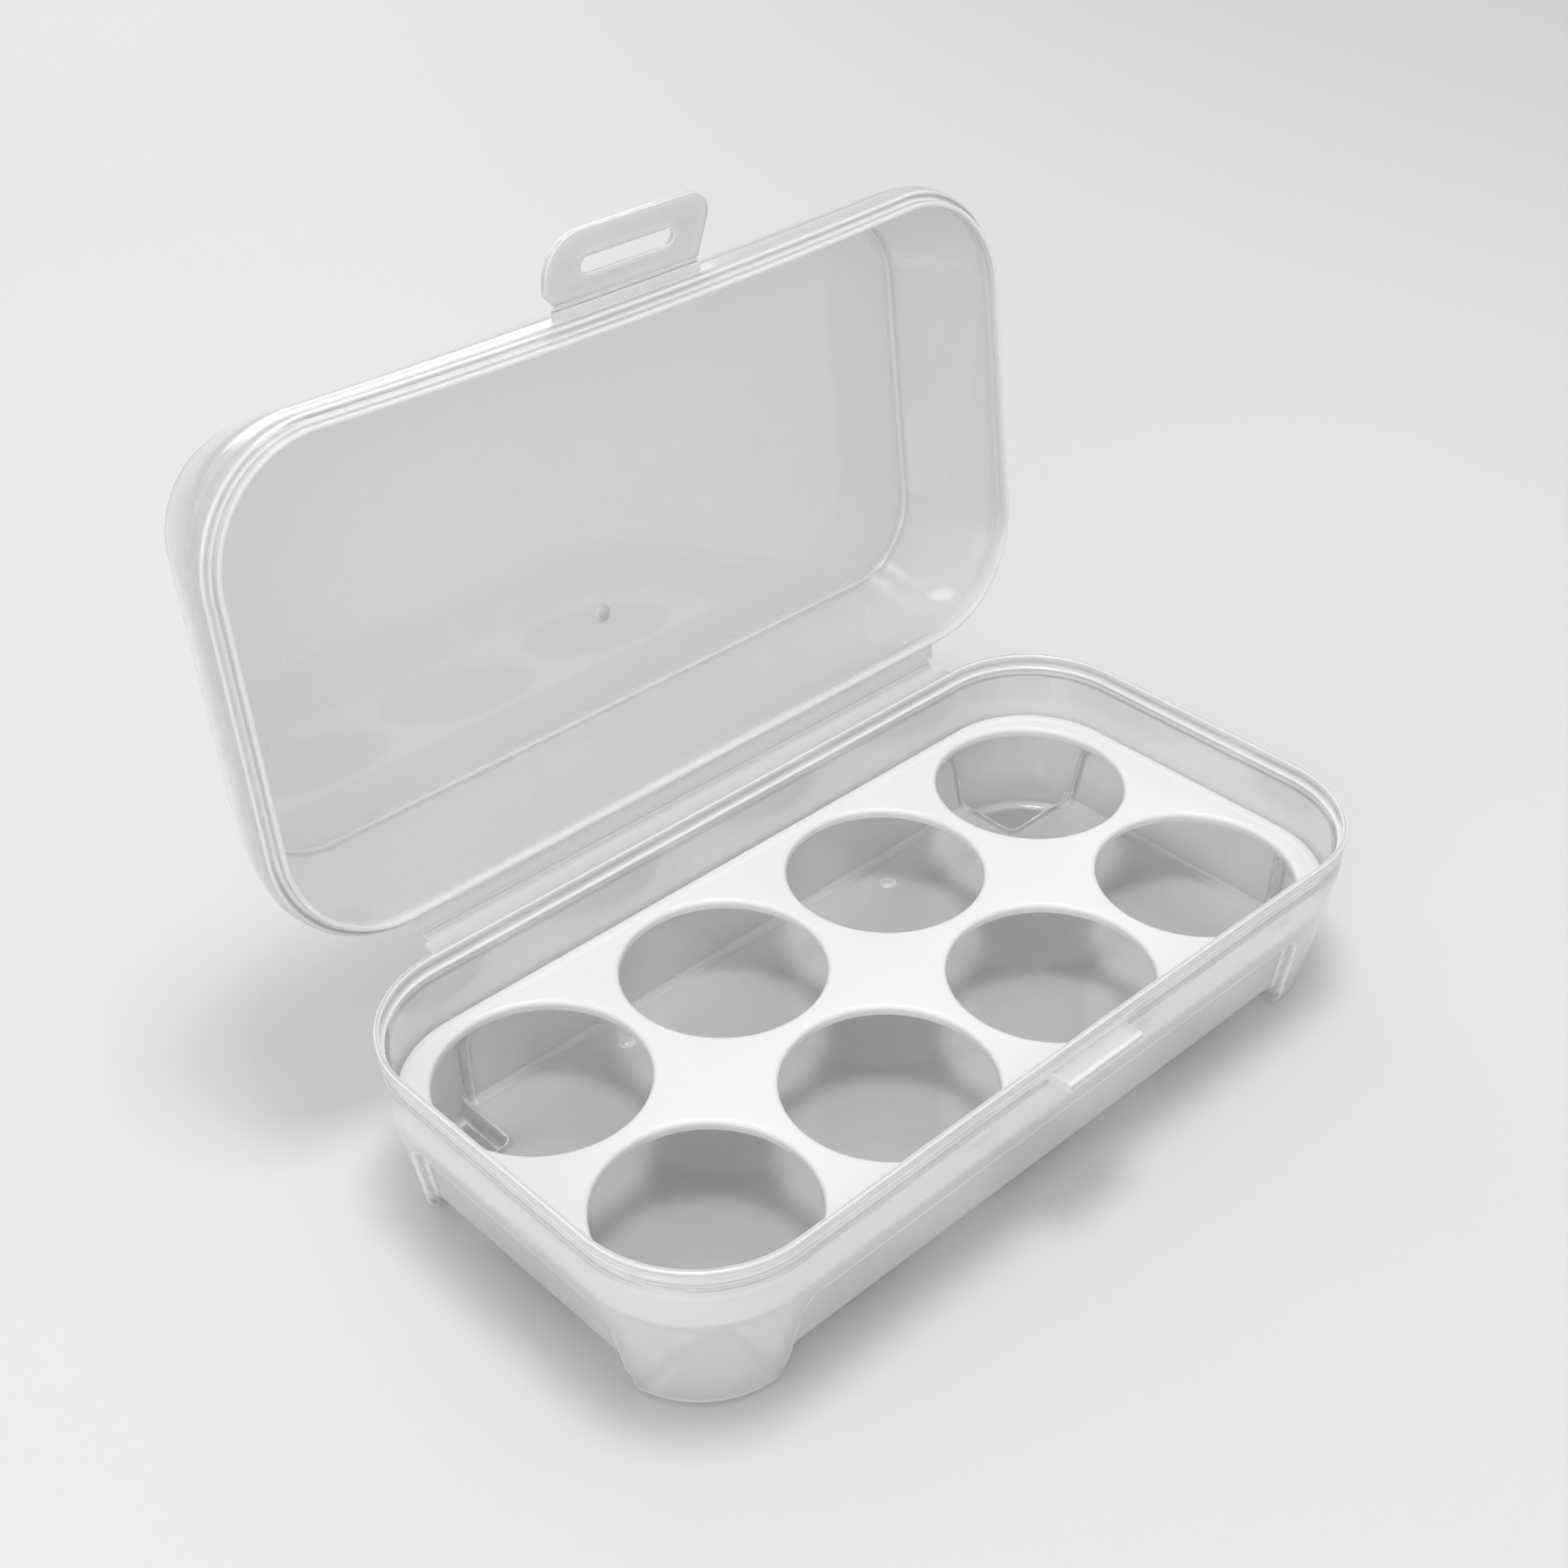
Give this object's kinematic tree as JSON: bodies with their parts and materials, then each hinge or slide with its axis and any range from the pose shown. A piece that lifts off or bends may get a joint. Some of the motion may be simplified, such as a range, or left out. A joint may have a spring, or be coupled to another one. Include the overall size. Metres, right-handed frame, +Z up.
{
  "type": "egg holder tray",
  "caption": "Clear plastic clamshell box on low feet with a loose perforated egg plate, a film-hinged lid and a slotted latch tab.",
  "frame": {"origin": "on the table, under the centre of the open box's bounding box", "axes": "+X along the length of the box, +Y from the latch side to the hinge side, +Z up"},
  "size_m": [0.1996, 0.1506, 0.1624],
  "materials": {
    "frosted_plastic": "glossy, slightly milky clear polypropylene",
    "film_fold": "thin flexed polypropylene film, whiter where it folds",
    "white_plastic": "satin opaque white"
  },
  "bodies": {
    "base": {"base_shell": "frosted_plastic", "base_hinge_film": "film_fold"},
    "strip": {"hinge_strip": "frosted_plastic", "lid_hinge_film": "film_fold"},
    "lid": {"lid_shell": "frosted_plastic", "latch_film": "film_fold"},
    "latch": {"latch_tab": "frosted_plastic"},
    "plate": {"egg_plate": "white_plastic"}
  },
  "joints": [
    {"name": "base_fold", "type": "hinge", "parent": "base", "child": "strip", "pos_m": [0, 0.03557, 0.0394], "axis": [-1, 0, 0], "range_deg": [-48.85, 41.15]},
    {"name": "lid_fold", "type": "hinge", "parent": "strip", "child": "lid", "pos_m": [0, 0.03723, 0.04085], "axis": [-1, 0, 0], "range_deg": [-48.85, 41.15]},
    {"name": "latch_fold", "type": "hinge", "parent": "lid", "child": "latch", "pos_m": [0, 0.05271, 0.14794], "axis": [1, 0, 0], "range_deg": [-42, 78]},
    {"name": "plate_lift", "type": "slide", "parent": "base", "child": "plate", "axis": [0, 0, 1], "range_m": [0, 0.0115]}
  ]
}
